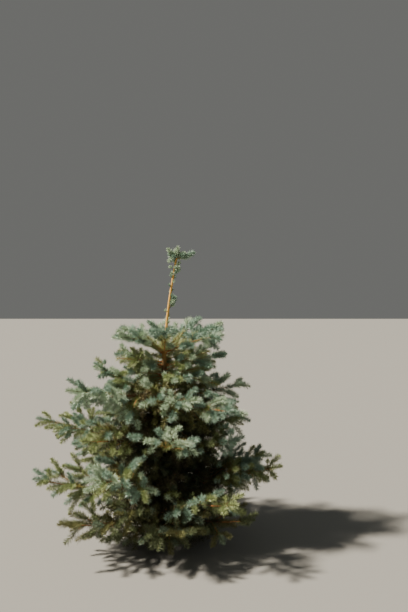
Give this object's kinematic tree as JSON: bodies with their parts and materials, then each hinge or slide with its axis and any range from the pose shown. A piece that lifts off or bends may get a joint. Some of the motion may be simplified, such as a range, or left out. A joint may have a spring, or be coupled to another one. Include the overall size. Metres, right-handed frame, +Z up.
{
  "type": "blue spruce tree",
  "caption": "Young blue spruce rooted in level ground: a tapering trunk under a bare, leaning leader, with whorls of boughs that carry sprays of stiff blue-green needles.",
  "frame": {"origin": "centre of the flat cut at the foot of the trunk, at ground level", "axes": "+Z up, +X to the right and -Y towards the viewer as the picture shows the tree"},
  "size_m": [1.4416, 1.356, 1.718],
  "materials": {
    "bark": "rough grey-brown bark with resin-brown scales, orange-brown on young shoots",
    "needles": "waxy blue-green needles, paler on the newest shoots and olive on the oldest"
  },
  "bodies": {
    "root": {"fifth_1_limb": "bark", "fifth_1_mass": "needles", "fifth_2_limb": "bark", "fifth_2_mass": "needles", "fifth_3_limb": "bark", "fifth_3_mass": "needles", "fifth_4_limb": "bark", "fifth_4_mass": "needles", "fifth_5_limb": "bark", "fifth_5_mass": "needles", "fifth_6_limb": "bark", "fifth_6_mass": "needles", "fifth_7_limb": "bark", "fifth_7_mass": "needles", "fourth_1_mass": "needles", "fourth_2_mass": "needles", "fourth_3_mass": "needles", "fourth_4_mass": "needles", "fourth_5_mass": "needles", "fourth_6_mass": "needles", "fourth_7_mass": "needles", "leader_spray_1": "needles", "leader_spray_2": "needles", "leader_tip": "needles", "lowest_1_mass": "needles", "lowest_2_mass": "needles", "lowest_3_mass": "needles", "lowest_4_mass": "needles", "lowest_5_mass": "needles", "second_1_mass": "needles", "second_2_mass": "needles", "second_3_mass": "needles", "sixth_1_limb": "bark", "sixth_1_mass": "needles", "sixth_2_limb": "bark", "sixth_2_mass": "needles", "sixth_3_limb": "bark", "sixth_3_mass": "needles", "sixth_4_limb": "bark", "sixth_4_mass": "needles", "sixth_5_limb": "bark", "sixth_5_mass": "needles", "sixth_6_limb": "bark", "sixth_6_mass": "needles", "sixth_7_limb": "bark", "sixth_7_mass": "needles", "third_1_mass": "needles", "third_2_mass": "needles", "third_3_mass": "needles", "third_4_mass": "needles", "top_1_mass": "needles", "top_2_mass": "needles", "top_3_mass": "needles", "top_4_mass": "needles", "top_5_mass": "needles", "top_6_mass": "needles", "top_7_mass": "needles", "trunk": "bark"}
  },
  "joints": []
}
